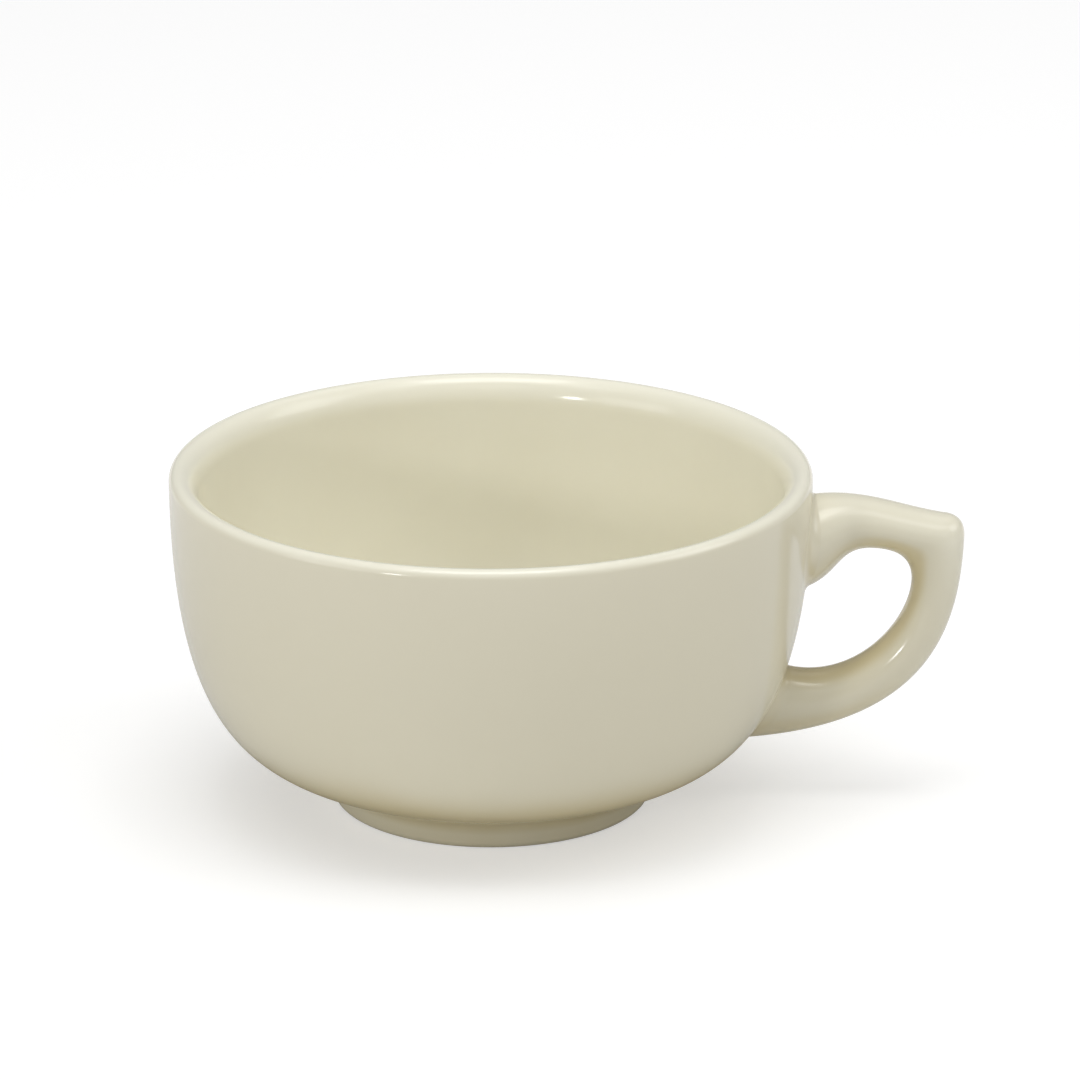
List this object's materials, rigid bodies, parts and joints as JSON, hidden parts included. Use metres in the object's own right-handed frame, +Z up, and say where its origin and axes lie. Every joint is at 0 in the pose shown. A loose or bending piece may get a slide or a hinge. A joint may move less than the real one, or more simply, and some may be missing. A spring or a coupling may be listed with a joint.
{
  "type": "cup",
  "caption": "Low wide cream glazed china cup with a full round rim, a foot ring and a loop handle ending in a blunt spur, for hot drinks or soup.",
  "frame": {"origin": "on the surface the cup stands on, under the middle of its whole length and width", "axes": "+X from the bowl towards the handle, along the longest extent; +Z up, along the shortest extent"},
  "size_m": [0.1411, 0.114, 0.0615],
  "materials": {
    "cream_glaze": "cream glossy glaze fired over vitrified china, dry on the foot's contact band",
    "slip_glaze": "the same cream glaze, pooled slightly thicker over a sponged slip joint"
  },
  "bodies": {
    "root": {"bowl": "cream_glaze", "foot_ring": "cream_glaze", "foot_slip_joint": "slip_glaze", "handle": "cream_glaze", "upper_slip_joint": "slip_glaze", "lower_slip_joint": "slip_glaze"}
  },
  "joints": []
}
